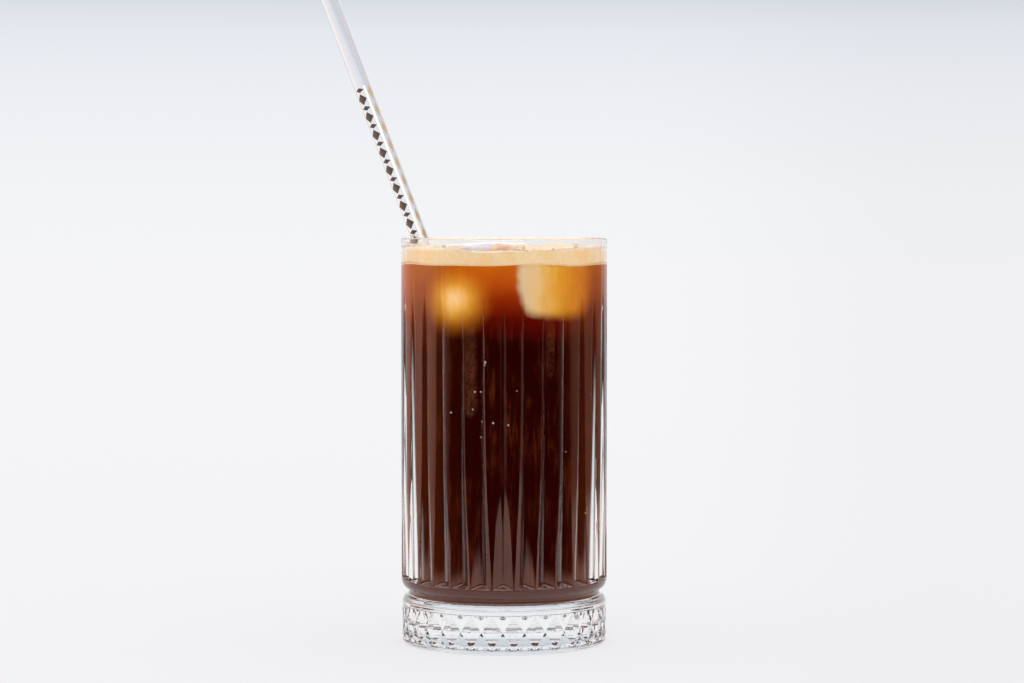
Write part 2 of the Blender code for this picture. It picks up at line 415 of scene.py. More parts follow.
def select_edges(piece):
    """Select all edges in edit mode, so that they are extruded and the face between them stays."""
    bm = bmesh.from_edit_mesh(piece.data)
    bpy.ops.mesh.select_mode(type="EDGE")
    for edge in bm.edges:
        edge.select_set(True)
    bmesh.update_edit_mesh(piece.data)


def outwards(piece):
    """Turn a closed piece's faces outwards."""
    pick(piece)
    edit_all()
    bpy.ops.mesh.normals_make_consistent(inside=False)
    bpy.ops.object.mode_set(mode="OBJECT")


def shade_smooth(piece, edge_angle=None):
    """Shade a piece smooth, all over or up to an angle between faces."""
    pick(piece)
    if edge_angle is None:
        bpy.ops.object.shade_smooth()
    else:
        bpy.ops.object.shade_smooth_by_angle(angle=edge_angle)


def add_block(name, cuts, roundness):
    """Finely meshed block, two units on each side, with its faces drawn towards a ball."""
    deselect()
    bpy.ops.mesh.primitive_cube_add(size=2.0)
    block = bpy.context.object
    take_name(block, name)
    edit_all()
    bpy.ops.mesh.subdivide(number_cuts=cuts)
    if roundness > 0.0:
        bpy.ops.transform.tosphere(value=roundness)
    bpy.ops.object.mode_set(mode="OBJECT")
    return block


def move_vertices(piece, rule):
    """Move each vertex to where a rule puts it."""
    for vertex in piece.data.vertices:
        vertex.co = rule(vertex.co)
    piece.data.update()


def polar(radius, angle, height):
    """Point at an angle from the front."""
    return Vector((radius * math.sin(angle), -radius * math.cos(angle), height))


def angle_of(point):
    """Angle of a point from the front."""
    return math.atan2(point.x, -point.y)


def arc(start, end, steps, bulge_first):
    """Quarter of an ellipse between two (radius, height) points, without its first point.

    It leaves upright where bulge_first is true, and level where it is false.
    """
    points = []
    for step in range(1, steps + 1):
        turn = 0.5 * math.pi * step / steps
        slow, fast = 1.0 - math.cos(turn), math.sin(turn)
        across, along = (slow, fast) if bulge_first else (fast, slow)
        points.append((start[0] + (end[0] - start[0]) * across, start[1] + (end[1] - start[1]) * along))
    return points


def finish_piece(piece, material, nodes=()):
    """Give a piece its material and its place in the frame."""
    piece.data.materials.clear()
    piece.data.materials.append(material)
    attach(piece, "root")
    if nodes:
        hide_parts(*nodes)


# Tumbler

LEDGE_TOP = 0.0227
LEDGE_DROP = 0.0034
NECK_RADIUS = 0.0340
NECK_BOTTOM = 0.0171
FOOT_RADIUS = 0.0363
BAND_TOP = 0.0136
BAND_BOTTOM = 0.0019
SHOULDER_BOTTOM = BAND_TOP + 0.0003
EDGE_CUT = 0.00035
SIDE_GEM_DROP = 0.0013
BEAD_RADIUS = 0.0362
BEAD_SHOULDER = 0.0004
STAND_RADIUS = 0.0345
LIP_FLARE = 0.0004
UNDERSIDE_RISE = 0.0003
FLUTE_ROUND = 0.03
FLUTE_RISES = (0.0, 0.070, 0.14, 0.215, 0.311, 0.397, 0.489, 0.655, 0.85, 0.94, 1.0)
FLUTE_SPREADS = (1.0, 0.95, 0.87, 0.75, 0.63, 0.55, 0.49, 0.42, 0.38, 0.24, 0.0)
FLUTE_END = 0.0227
FLUTE_END_SLOPE = 1.7
FLUTE_ROWS = 28
LEAST_SPREAD = 0.12
CRISP_ANGLE = math.radians(5.0)

# A row of mesh this far from a rounded end keeps the shading of the long faces beside it straight
EDGE_ROW = 0.0004


def flute_place(sizes, angle):
    """Place within a flute, 0 on its first ridge and 1 on the next."""
    return ((angle - sizes.front_ridge) * sizes.flute_count / FULL_TURN) % 1.0


def flute_spread(sizes, height):
    """Share of the surface that the flutes take at a height, growing from their tips to the ledge."""
    rise = (height - LEDGE_TOP) / (sizes.flute_top - LEDGE_TOP)
    return sizes.flute_share * float(np.interp(rise, FLUTE_RISES, FLUTE_SPREADS))


def column_angle(sizes, angle, height):
    """Angle of a mesh column, moved so that columns run along the flutes' edges and middles."""
    turns = (angle - sizes.front_ridge) * sizes.flute_count / FULL_TURN
    module = math.floor(turns + 1e-6)
    place = turns - module
    spread = max(flute_spread(sizes, height), LEAST_SPREAD)
    across = abs(1.0 - 2.0 * place)
    edge = FLUTE_ROUND * 1.6
    across = float(
        np.interp(
            1.0 - across,
            (0.0, 0.3, 0.4, 0.5, 0.9, 1.0),
            (1.0, min(spread + edge, 0.98), spread, spread - edge, 0.05, 0.0),
        )
    )
    place = 0.5 - 0.5 * across if place < 0.5 else 0.5 + 0.5 * across
    return sizes.front_ridge + (module + place) * FULL_TURN / sizes.flute_count


def flute_radius(sizes, angle, height):
    """Radius of the body, cut by flutes with two straight flanks and an end wall above the ledge."""
    across = math.hypot(1.0 - 2.0 * flute_place(sizes, angle), FLUTE_ROUND) - FLUTE_ROUND
    inside = flute_spread(sizes, height) - across
    half_width = 0.5 * FULL_TURN * GLASS_RADIUS / sizes.flute_count
    rounded = 0.5 * (inside + math.hypot(inside, FLUTE_ROUND))
    depth = half_width * math.tan(sizes.flute_slope) * rounded
    end_wall = max(height - FLUTE_END, 0.0) * FLUTE_END_SLOPE
    return GLASS_RADIUS - min(depth, end_wall)


def band_edge_radius(sizes, angle):
    """Radius of the cut band's upper and lower edge, deepest where two grooves meet."""
    groove = abs(2.0 * flute_place(sizes, angle) - 1.0)
    return FOOT_RADIUS - EDGE_CUT - (sizes.groove_depth - EDGE_CUT) * groove


def foot_profile():
    """Bead that the glass stands on, up to the cut band."""
    profile = [(STAND_RADIUS - 0.0020, UNDERSIDE_RISE), (STAND_RADIUS - 0.0012, 0.0), (STAND_RADIUS, 0.0)]
    profile += arc(profile[-1], (BEAD_RADIUS, BAND_BOTTOM - BEAD_SHOULDER), 8, False)
    profile.append((FOOT_RADIUS - EDGE_CUT, BAND_BOTTOM))
    return profile


def cavity_profile(sizes, swell):
    """Cavity from the middle of its floor up to the lip, swollen into the glass."""
    floor = sizes.floor_height - swell
    wall_foot = (sizes.floor_inner + swell, sizes.floor_height + sizes.floor_fillet)
    profile = [(sizes.floor_inner - sizes.floor_fillet, floor)]
    profile += arc(profile[0], wall_foot, 8, False)
    profile.append((sizes.rim_inner + swell, GLASS_HEIGHT - sizes.lip_round))
    return profile


def upper_profile(sizes):
    """Shoulder, neck, ledge, body, lip and cavity, from the cut band to the cavity's floor."""
    shoulder_foot = (FOOT_RADIUS, SHOULDER_BOTTOM)
    neck_foot = (NECK_RADIUS, NECK_BOTTOM)
    neck_top = (NECK_RADIUS, LEDGE_TOP - LEDGE_DROP)
    lip_foot = (GLASS_RADIUS, GLASS_HEIGHT - sizes.lip_round)
    mouth = (sizes.rim_inner + LIP_FLARE, GLASS_HEIGHT)
    profile = [(FOOT_RADIUS - EDGE_CUT, BAND_TOP), shoulder_foot]
    profile += arc(shoulder_foot, neck_foot, 10, True)
    profile.append((NECK_RADIUS, 0.5 * (neck_foot[1] + neck_top[1])))
    profile.append(neck_top)
    profile += arc(neck_top, (GLASS_RADIUS, LEDGE_TOP), 16, False)
    for rise in (0.2, 0.4, 0.6, 0.8, 1.0, 1.2, 1.5, 2.0):
        profile.append((GLASS_RADIUS, FLUTE_END + rise * MM))
    low = FLUTE_END + 2.0 * MM
    for step in range(1, FLUTE_ROWS + 1):
        profile.append((GLASS_RADIUS, low + (sizes.flute_top - low) * step / FLUTE_ROWS))
    profile.append((GLASS_RADIUS, lip_foot[1] - EDGE_ROW))
    profile.append(lip_foot)
    profile += arc(lip_foot, (GLASS_RADIUS - sizes.lip_round, GLASS_HEIGHT), 6, True)
    profile.append(mouth)
    cavity = cavity_profile(sizes, 0.0)
    profile += arc(mouth, cavity[-1], 6, False)
    for height in (cavity[-1][1] - EDGE_ROW, cavity[-2][1] + EDGE_ROW):
        profile.append((wall_radius(sizes, height, 0.0), height))
    profile += cavity[-2::-1]
    return profile


def add_gem(bm, outline, peak):
    """Raised facets from a closed outline to a peak."""
    for index, corner in enumerate(outline):
        bm.faces.new((corner, outline[(index + 1) % len(outline)], peak))


def ring_at(bm, height, near):
    """Vertices of a ring of the mesh, by their angle."""
    found = [v for v in bm.verts if abs(v.co.z - height) < 1e-6 and abs(v.co.xy.length - near) < 0.001]
    return sorted(found, key=lambda v: angle_of(v.co) % FULL_TURN)


def add_cut_band(bm, sizes):
    """Rhombi on the ridges' angles with half rhombi between them along both edges."""
    near = FOOT_RADIUS - EDGE_CUT
    low = ring_at(bm, BAND_BOTTOM, near)
    high = ring_at(bm, BAND_TOP, near)
    middle = 0.5 * (BAND_TOP + BAND_BOTTOM)
    flute_angle = FULL_TURN / sizes.flute_count
    ridges = [sizes.front_ridge + flute_angle * index for index in range(sizes.flute_count)]
    count = len(low)
    start = min(range(count), key=lambda index: abs(angle_of(low[index].co) - sizes.front_ridge))
    crossings = []
    for ridge in ridges:
        point = polar(FOOT_RADIUS - sizes.groove_depth, ridge + 0.5 * flute_angle, middle)
        crossings.append(bm.verts.new(point))
    for index, ridge in enumerate(ridges):
        first = start + index * sizes.flute_columns
        edge = [(first + step) % count for step in range(sizes.flute_columns + 1)]
        peak = bm.verts.new(polar(FOOT_RADIUS, ridge, middle))
        add_gem(bm, [high[edge[0]], crossings[index - 1], low[edge[0]], crossings[index]], peak)
        for ring, height in ((high, BAND_TOP - SIDE_GEM_DROP), (low, BAND_BOTTOM + SIDE_GEM_DROP)):
            peak = bm.verts.new(polar(FOOT_RADIUS, ridge + 0.5 * flute_angle, height))
            add_gem(bm, [ring[column] for column in edge] + [crossings[index]], peak)


def keep_gems_crisp(bm):
    """Shade the cut band flat from facet to facet."""
    for edge in bm.edges:
        heights = [v.co.z for v in edge.verts]
        in_band = BAND_BOTTOM - 1e-5 < min(heights) and max(heights) < BAND_TOP + 1e-5
        if in_band and len(edge.link_faces) == 2 and edge.calc_face_angle(0.0) > CRISP_ANGLE:
            edge.smooth = False


def glass_finish():
    """Clear pressed glass."""
    return new_finish(
        "clear_glass", Roughness=0.0, IOR=1.5, Transmission_Weight=1.0, Base_Color=(0.975, 0.99, 0.985, 1.0)
    )[0]


class ICED_OT_tumbler(bpy.types.Operator):
    """Model the fluted tumbler with its diamond-cut foot"""

    bl_idname = "iced.tumbler"
    bl_label = "Tumbler"

    def execute(self, context):
        sizes = context.scene.iced_tumbler
        columns = sizes.flute_count * sizes.flute_columns
        first_angle = sizes.front_ridge
        foot = turn_piece("tumbler_foot", foot_profile(), columns, first_angle, close_high=False)
        tumbler = turn_piece("tumbler", upper_profile(sizes), columns, first_angle, close_low=False)
        pick(tumbler, foot)
        bpy.ops.object.join()

        def carve(co):
            radius = co.xy.length
            if radius < NECK_RADIUS - 1e-6 or co.z < BAND_BOTTOM - 1e-6:
                return co
            angle = column_angle(sizes, angle_of(co), co.z)
            if co.z < BAND_TOP + 1e-6:
                return polar(band_edge_radius(sizes, angle), angle, co.z)
            if FLUTE_END - 1e-6 < co.z < sizes.flute_top + 1e-6 and radius > GLASS_RADIUS - 1e-6:
                return polar(flute_radius(sizes, angle, co.z), angle, co.z)
            return polar(radius, angle, co.z)

        move_vertices(tumbler, carve)
        change_mesh(tumbler, lambda bm: add_cut_band(bm, sizes))
        outwards(tumbler)
        shade_smooth(tumbler)
        change_mesh(tumbler, keep_gems_crisp)
        finish_piece(tumbler, glass_finish(), ("glass",))
        return {"FINISHED"}


# Coffee and what is sunk in it

LIQUID_LEVEL = 0.1340
LIQUID_WAVE = 0.0004
CREMA_LEVEL = 0.1385
DRINK_COLUMNS = 240

# How far the coffee, the sunk ice and the crema reach into the wall of the glass
SEEP = 0.00010
ICE_SEEP = 0.00014
CREMA_SEEP = 0.00018

# Slant at which the wall turns from showing the coffee to mirroring, low and high in the glass
WALL_MIRROR_START = 0.37
WALL_MIRROR_TOP = 0.49
WALL_MIRROR_RANGE = 0.09

# Sunk ice by the wall: angle, height, half its angle, half its height, softness of its two sides,
# squareness, and where its whitish side is: 1 for the left, -1 for the right, 0 for the middle
SUNK_ICE = {
    "sunk_ice_right": (math.radians(32.5), 0.1290, math.radians(26.0), 0.0130, (0.06, 0.20), 3.2, 1.0),
    "sunk_ice_left": (math.radians(-29.0), 0.1224, math.radians(18.0), 0.0098, (0.46, 0.46), 2.0, 0.0),
    "sunk_ice_back": (math.radians(152.0), 0.1270, math.radians(21.0), 0.0120, (0.15, 0.35), 2.4, 0.6),
    "sunk_ice_side": (math.radians(-108.0), 0.1265, math.radians(19.0), 0.0100, (0.30, 0.12), 2.4, -0.6),
}
SUNK_ICE_CUTS = 44
SUNK_ICE_ROUNDNESS = 0.55
SUNK_ICE_HALF_DEPTH = 0.009
SUNK_ICE_INSET = 0.006

# Sunk ice from whitish to golden: place and screen colour
ICE_TONES = (
    (0.08, (228, 200, 160)),
    (0.24, (234, 196, 138)),
    (0.36, (233, 182, 96)),
    (0.50, (226, 160, 54)),
    (0.70, (212, 134, 32)),
    (0.95, (194, 106, 26)),
)

# Misted streaks on the wall: angle, half the angle, lower end, upper end, strength
MIST = (
    (math.radians(-19.6), math.radians(4.2), 0.0820, 0.1120, 0.17),
    (math.radians(27.5), math.radians(3.0), 0.0960, 0.1120, 0.12),
    (math.radians(140.0), math.radians(4.4), 0.0700, 0.1050, 0.17),
)


def wall_radius(sizes, height, swell):
    """Radius of the cavity's straight wall at a height, swollen into the glass."""
    foot = sizes.floor_height + sizes.floor_fillet
    share = (height - foot) / (GLASS_HEIGHT - sizes.lip_round - foot)
    return sizes.floor_inner + (sizes.rim_inner - sizes.floor_inner) * share + swell


def liquid_height(x, y):
    """Wavy surface between the coffee and the crema."""
    angle = math.atan2(x, -y)
    reach = min(math.hypot(x, y) / MOUTH_RADIUS, 1.0) ** 2
    wave = 0.6 * math.sin(5.0 * angle + 0.4) + 0.4 * math.sin(8.0 * angle - 1.1)
    return LIQUID_LEVEL + LIQUID_WAVE * reach * wave


def ice_layer(tree, base, angle, height, ice):
    """Lay the look of one sunk ice block, whitish to golden with soft sides, over the coffee's colour."""
    centre, level, half_angle, half_height, softness, power, lean = ice
    turn = maths(tree, "WRAP", maths(tree, "SUBTRACT", angle, centre), math.pi, -math.pi)
    across = maths(tree, "DIVIDE", turn, half_angle)
    along = maths(tree, "DIVIDE", maths(tree, "SUBTRACT", height, level), half_height)
    drift = maths(tree, "MULTIPLY", centred_noise(tree, object_point(tree), 110.0), 0.22)
    wide = maths(tree, "POWER", maths(tree, "ABSOLUTE", across), power)
    tall = maths(tree, "POWER", maths(tree, "ABSOLUTE", along), power)
    reach = maths(tree, "POWER", maths(tree, "ADD", wide, tall), 1.0 / power)
    reach = maths(tree, "ADD", reach, drift)
    soft = remap(tree, across, -1.0, 1.0, softness[0], softness[1], "LINEAR")
    inner = maths(tree, "MULTIPLY_ADD", soft, -2.0, 1.0)
    cover = remap(tree, reach, inner, maths(tree, "ADD", soft, 1.0), 1.0, 0.0)
    place = maths(tree, "MULTIPLY_ADD", across, 0.5 * lean, 0.20 + 0.32 * abs(lean))
    place = maths(tree, "MULTIPLY_ADD", reach, 0.5 * (1.0 - abs(lean)), place)
    scratches = centred_noise(tree, object_point(tree, (1.0, 1.0, 0.45)), 420.0, 3.0, 0.6)
    place = maths(tree, "MULTIPLY_ADD", scratches, 0.22, place)
    gain = 1.0 - 0.17 * abs(lean)
    stops = []
    for stop, colour in ICE_TONES:
        stops.append((stop, tuple(gain * value for value in under_glass(*colour))))
    return mix(tree, cover, base, ramp(tree, place, stops))


def mist_layer(tree, base, angle, height):
    """Lay misted streaks with small clear dots over the coffee's colour."""
    for centre, half_angle, low, high, strength in MIST:
        across = share_of(tree, angle, centre, half_angle)
        round_end = maths(tree, "MULTIPLY_ADD", maths(tree, "POWER", across, 2.0), 0.003, low)
        below = remap(tree, height, high + 0.006, high)
        cover = maths(tree, "MULTIPLY", remap(tree, across, 0.45, 1.0, 1.0, 0.0), below)
        above = remap(tree, maths(tree, "SUBTRACT", height, round_end), -0.0012, 0.0012)
        cover = maths(tree, "MULTIPLY", cover, above)
        dots = remap(tree, cell_texture(tree, object_point(tree), 750.0, "Distance"), 0.22, 0.40, 0.25, 1.0)
        cloud = remap(tree, noise_texture(tree, object_point(tree), 260.0, 3.0), 0.35, 0.65, 0.45, 1.0)
        cover = maths(tree, "MULTIPLY", maths(tree, "MULTIPLY", cover, dots), cloud)
        base = mix(tree, maths(tree, "MULTIPLY", cover, strength), base, under_glass(150, 92, 66))
    return base


def coffee_colour(tree, colours):
    """Colour of the coffee through the glass: amber at the top and round the ice, dark below; the amber at
    the top is partly painted light, and painted backlight makes the sides browner.
    """
    split = add_node(tree, "ShaderNodeSeparateXYZ", {0: object_point(tree)})
    height = split.outputs["Z"]
    angle = angle_round(tree, split.outputs["X"], split.outputs["Y"])
    warp = centred_noise(tree, object_point(tree, (1.0, 1.0, 0.6)), 45.0, 3.0)
    warped = maths(tree, "MULTIPLY_ADD", warp, 0.016, height)
    depth = remap(tree, warped, LIQUID_LEVEL, 0.100, 0.0, 1.0, "LINEAR")
    # Painted light: the amber near the top is partly coffee thinned by melted ice and partly a painted glow
    # of light coming in through the crema and the ice, fading into the dark coffee below.
    dark = ramp(
        tree,
        depth,
        [
            (0.0, tuple(colours.amber)),
            (0.16, under_glass(176, 76, 14)),
            (0.34, under_glass(134, 38, 5)),
            (0.52, under_glass(84, 9, 2)),
            (0.80, tuple(colours.deep)),
        ],
    )
    # Painted backlight: a lighter brown where light from behind would shine through thinner coffee at the
    # sides, in bands round the glass, darkest at the front.
    backlit_brown = ramp(
        tree,
        depth,
        [
            (0.0, under_glass(156, 78, 10)),
            (0.25, under_glass(134, 60, 12)),
            (0.50, under_glass(92, 32, 10)),
            (0.85, under_glass(56, 17, 5)),
        ],
    )
    backlight_waves = maths(tree, "COSINE", maths(tree, "MULTIPLY", maths(tree, "SUBTRACT", angle, 0.09), 3.0))
    drift = centred_noise(tree, object_point(tree, (1.0, 1.0, 0.25)), 60.0, 3.0, 0.6)
    backlight_waves = maths(tree, "MULTIPLY_ADD", drift, 1.2, backlight_waves)
    base = mix(tree, remap(tree, backlight_waves, 0.1, -0.9), dark, backlit_brown)
    streaks = noise_texture(tree, object_point(tree, (1.0, 1.0, 0.09)), 700.0, 3.0, 0.65)
    clouds = noise_texture(tree, object_point(tree, (1.0, 1.0, 0.5)), 150.0, 3.0, 0.6)
    murk = maths(tree, "MULTIPLY", remap(tree, streaks, 0.42, 0.72), remap(tree, clouds, 0.40, 0.66))
    murk = maths(tree, "MULTIPLY", murk, remap(tree, height, 0.128, 0.104, 0.06, 0.30))
    base = mix(tree, murk, base, under_glass(112, 52, 26))
    floor_glow = remap(tree, height, 0.032, 0.018)
    base = mix(tree, maths(tree, "MULTIPLY", floor_glow, 0.8), base, under_glass(84, 44, 30))
    base = mist_layer(tree, base, angle, height)
    for ice in SUNK_ICE.values():
        base = ice_layer(tree, base, angle, height, ice)
    return base


def mirror_at_the_wall(tree, shader, start, full, where=1.0):
    """Glancing light turns back where the thick wall meets the drink, so there the wall looks clear."""
    slant = add_node(tree, "ShaderNodeLayerWeight", {"Blend": 0.5}).outputs["Facing"]
    share = maths(tree, "MULTIPLY", remap(tree, slant, start, full), where)
    mirror = add_node(tree, "ShaderNodeBsdfGlossy", {"Color": (*WHITE, 1.0), "Roughness": 0.0})
    show(tree, blend_shaders(tree, share, shader.outputs[0], mirror.outputs[0]))


def coffee_finish(colours):
    """Coffee, whose colour is seen through the wall of the glass."""
    material, tree, shader = new_finish("coffee", Roughness=0.35, Specular_IOR_Level=0.0, IOR=1.33)
    tree.links.new(coffee_colour(tree, colours), shader.inputs["Base Color"])
    height = sep(tree, object_point(tree), "Z")
    start = remap(tree, height, 0.045, 0.125, WALL_MIRROR_START, WALL_MIRROR_TOP, "LINEAR")
    mirror_at_the_wall(tree, shader, start, maths(tree, "ADD", start, WALL_MIRROR_RANGE))
    return material


class ICED_OT_coffee(bpy.types.Operator):
    """Fill the tumbler with coffee that reaches just into its wall"""

    bl_idname = "iced.coffee"
    bl_label = "Coffee"

    def execute(self, context):
        sizes = context.scene.iced_tumbler
        top = wall_radius(sizes, LIQUID_LEVEL, SEEP)
        profile = cavity_profile(sizes, SEEP)[:-1]
        low = profile[-1][1]
        heights = [low + EDGE_ROW] + [low + (LIQUID_LEVEL - low) * step / 12 for step in range(1, 13)]
        for height in heights:
            profile.append((wall_radius(sizes, height, SEEP), height))
        for share in (0.96, 0.9, 0.8, 0.6, 0.4, 0.2, 0.05):
            profile.append((top * share, LIQUID_LEVEL))
        coffee = turn_piece("coffee_fill", profile, DRINK_COLUMNS, sizes.front_ridge)

        def wave(co):
            if co.z > LIQUID_LEVEL - 1e-6:
                return Vector((co.x, co.y, liquid_height(co.x, co.y)))
            return co

        move_vertices(coffee, wave)
        outwards(coffee)
        shade_smooth(coffee, math.radians(50.0))
        finish_piece(coffee, coffee_finish(context.scene.iced_drink), ("coffee",))
        return {"FINISHED"}


def sunk_ice_finish(colours):
    """Sunk ice, which takes the coffee's colours, because they hold the ice's too."""
    material, tree, shader = new_finish("sunk_ice", Roughness=0.3, Specular_IOR_Level=0.0, IOR=1.33)
    tree.links.new(coffee_colour(tree, colours), shader.inputs["Base Color"])
    return material


class ICED_OT_sunk_ice(bpy.types.Operator):
    """Add the worn ice blocks that show through the wall, flattened where they meet it"""

    bl_idname = "iced.sunk_ice"
    bl_label = "Sunk Ice"

    def execute(self, context):
        sizes = context.scene.iced_tumbler
        material = sunk_ice_finish(context.scene.iced_drink)
        noise.seed_set(ICE_SEED)
        for name, (angle, height, half_angle, half_height, *_) in SUNK_ICE.items():
            half_width = 0.95 * half_angle * sizes.floor_inner
            centre = polar(wall_radius(sizes, height, 0.0) - SUNK_ICE_INSET, angle, height)
            block = add_block(name, SUNK_ICE_CUTS, SUNK_ICE_ROUNDNESS)
            place = Matrix.Translation(centre) @ Matrix.Rotation(angle, 4, "Z")
            place = place @ Matrix.Diagonal((half_width, SUNK_ICE_HALF_DEPTH, half_height, 1.0))
            block.data.transform(place)

            def settle(co):
                worn = co + noise.noise_vector(co * 90.0) * 0.0003
                limit = wall_radius(sizes, worn.z, ICE_SEEP)
                radius = worn.xy.length
                if radius > limit:
                    worn.x *= limit / radius
                    worn.y *= limit / radius
                worn.z = min(worn.z, LIQUID_LEVEL - 0.0002)
                return worn

            move_vertices(block, settle)
            shade_smooth(block)
            finish_piece(block, material)
        return {"FINISHED"}


# Crema

# Mounds of foam: middle, radius and height
BACK_MOUND = (0.0190, 0.0150, 0.0150, 0.0026)
SIDE_MOUND = (-0.0330, -0.0020, 0.0090, 0.0026)
CREMA_RIPPLE = 0.0002
CREMA_RINGS = 70

# Foam by the wall, foam that clings above it, and foam on top: its tones, blotches and rings
WALL_FOAM = (under_glass(226, 190, 138), under_glass(216, 176, 120))
WET_FOAM = (under_glass(232, 222, 208), under_glass(230, 208, 184), under_glass(218, 192, 166))
TOP_FOAM = (srgb(226, 206, 182), srgb(222, 188, 150), srgb(206, 160, 112))

# Foam that creeps up the wall: angles in degrees and heights in millimetres
CREEP_ANGLES = (-180, -120, -85, -55, -42, -30, -17, 5, 18, 32, 60, 85, 120, 180)
CREEP_HEIGHTS = (1.7, 2.2, 2.7, 2.8, 2.4, 1.4, 0.1, 0.0, 0.5, 1.1, 1.9, 2.2, 2.1, 1.7)


def mound_height(x, y, mound):
    """Height that a round mound adds at a point."""
    centre_x, centre_y, radius, height = mound
    share = min(math.hypot(x - centre_x, y - centre_y) / radius, 1.0)
    return height * (0.5 + 0.5 * math.cos(math.pi * share))


def wall_creep(x, y):
    """Foam that clings to the wall, highest at the sides."""
    near = smooth_step(0.70, 0.96, math.hypot(x, y) / MOUTH_RADIUS)
    angle = math.degrees(math.atan2(x, -y))
    return near * MM * float(np.interp(angle, CREEP_ANGLES, CREEP_HEIGHTS))


def crema_height(x, y):
    """Uneven top of the crema."""
    ripple = CREMA_RIPPLE * math.sin(x / 0.0041 + 0.7) * math.cos(y / 0.0053)
    fine = 0.00035 * noise.noise(Vector((x, y, 0.0)) * 420.0)
    froth = fine + 0.0004 * noise.noise(Vector((x, y, 0.01)) * 170.0)
    mounds = max(mound_height(x, y, BACK_MOUND) + mound_height(x, y, SIDE_MOUND), wall_creep(x, y))
    return CREMA_LEVEL + ripple + froth + mounds


def foam_colour(tree, point, tones):
    """Foam in a pale tone with blotches of a darker one and rings of bubbles in a third."""
    pale, dark, bubble = tones
    blotches = noise_texture(tree, point, 160.0, 3.0)
    tone = mix(tree, remap(tree, blotches, 0.35, 0.7), pale, dark)
    rings = remap(tree, cell_texture(tree, point, 900.0, "Distance"), 0.25, 0.6)
    return mix(tree, maths(tree, "MULTIPLY", rings, 0.25), tone, bubble)


def crema_finish(sizes, colours):
    """Pale tan foam, which looks the same through the glass as from above."""
    material, tree, shader = new_finish("crema", Roughness=0.5, Specular_IOR_Level=0.3)
    point = object_point(tree)
    at_wall = foam_colour(tree, point, (tuple(colours.crema), *WALL_FOAM))
    wet = foam_colour(tree, point, WET_FOAM)
    drained = remap(tree, sep(tree, point, "Z"), CREMA_LEVEL + 0.0002, CREMA_LEVEL + 0.0016)
    at_wall = mix(tree, drained, at_wall, wet)
    on_top = foam_colour(tree, point, TOP_FOAM)
    flat = add_node(tree, "ShaderNodeCombineXYZ", {"X": sep(tree, point, "X"), "Y": sep(tree, point, "Y")})
    near = remap(tree, length_of(tree, flat.outputs[0]), sizes.rim_inner - 0.0010, sizes.rim_inner - 0.0003)
    tree.links.new(mix(tree, near, on_top, at_wall), shader.inputs["Base Color"])
    upright = add_node(tree, "ShaderNodeNewGeometry").outputs["Normal"]
    upright = remap(tree, maths(tree, "ABSOLUTE", sep(tree, upright, "Z")), 0.3, 0.5, 0.55, 0.0)
    mirror_at_the_wall(tree, shader, 0.19, 0.31, maths(tree, "MULTIPLY", near, upright))
    return material


class ICED_OT_crema(bpy.types.Operator):
    """Lay the crema on the coffee, uneven on top"""

    bl_idname = "iced.crema"
    bl_label = "Crema"

    def execute(self, context):
        sizes = context.scene.iced_tumbler
        low = wall_radius(sizes, LIQUID_LEVEL, CREMA_SEEP)
        high = wall_radius(sizes, CREMA_LEVEL, CREMA_SEEP)
        band = CREMA_LEVEL - LIQUID_LEVEL
        profile = [(low * share, LIQUID_LEVEL) for share in (0.5, 0.8, 0.95, 0.99, 1.0)]
        for step in range(1, 7):
            profile.append((low + (high - low) * step / 6, LIQUID_LEVEL + band * step / 6))
        for step in range(1, CREMA_RINGS):
            profile.append((high * (1.0 - step / CREMA_RINGS), CREMA_LEVEL))
        crema = turn_piece("crema_foam", profile, DRINK_COLUMNS, sizes.front_ridge)

        def swell(co):
            low_z = liquid_height(co.x, co.y)
            high_z = crema_height(co.x, co.y)
            share = (co.z - LIQUID_LEVEL) / band
            return Vector((co.x, co.y, low_z + (high_z - low_z) * share))

        move_vertices(crema, swell)
        outwards(crema)
        shade_smooth(crema)
        finish_piece(crema, crema_finish(sizes, context.scene.iced_drink), ("crema",))
        return {"FINISHED"}


# Ice that comes out of the crema

ICE_CUTS = 40
ICE_SQUARENESS = 7.0
ICE_FALL = 0.0014


def ice_finish():
    """Wet, cloudy ice that shows the drink's colours inside."""
    material, tree, shader = new_finish(
        "wet_ice", Roughness=0.10, IOR=1.31, Transmission_Weight=0.25, Coat_Weight=0.6, Coat_Roughness=0.05
    )
    point = object_point(tree)
    facets = sep(tree, cell_texture(tree, point, 150.0, "Color"), "X")
    clouds = maths(tree, "MULTIPLY_ADD", facets, 0.7, noise_texture(tree, point, 240.0, 2.0, 0.6))
    inside = ramp(
        tree,
        maths(tree, "SUBTRACT", clouds, 0.35),
        [
            (0.12, srgb(224, 184, 154)),
            (0.28, srgb(242, 214, 186)),
            (0.46, srgb(250, 244, 238)),
            (0.62, srgb(228, 220, 232)),
            (0.80, srgb(216, 198, 204)),
        ],
    )
    # Painted highlight: faces that look upwards are mixed towards a pale grey, as the wet top of the ice
    # lit from above.
    normal = add_node(tree, "ShaderNodeNewGeometry").outputs["Normal"]
    top = remap(tree, sep(tree, normal, "Z"), 0.72, 0.94, 0.0, 0.75)
    tree.links.new(mix(tree, top, inside, (0.84, 0.80, 0.78)), shader.inputs["Base Color"])
    return material


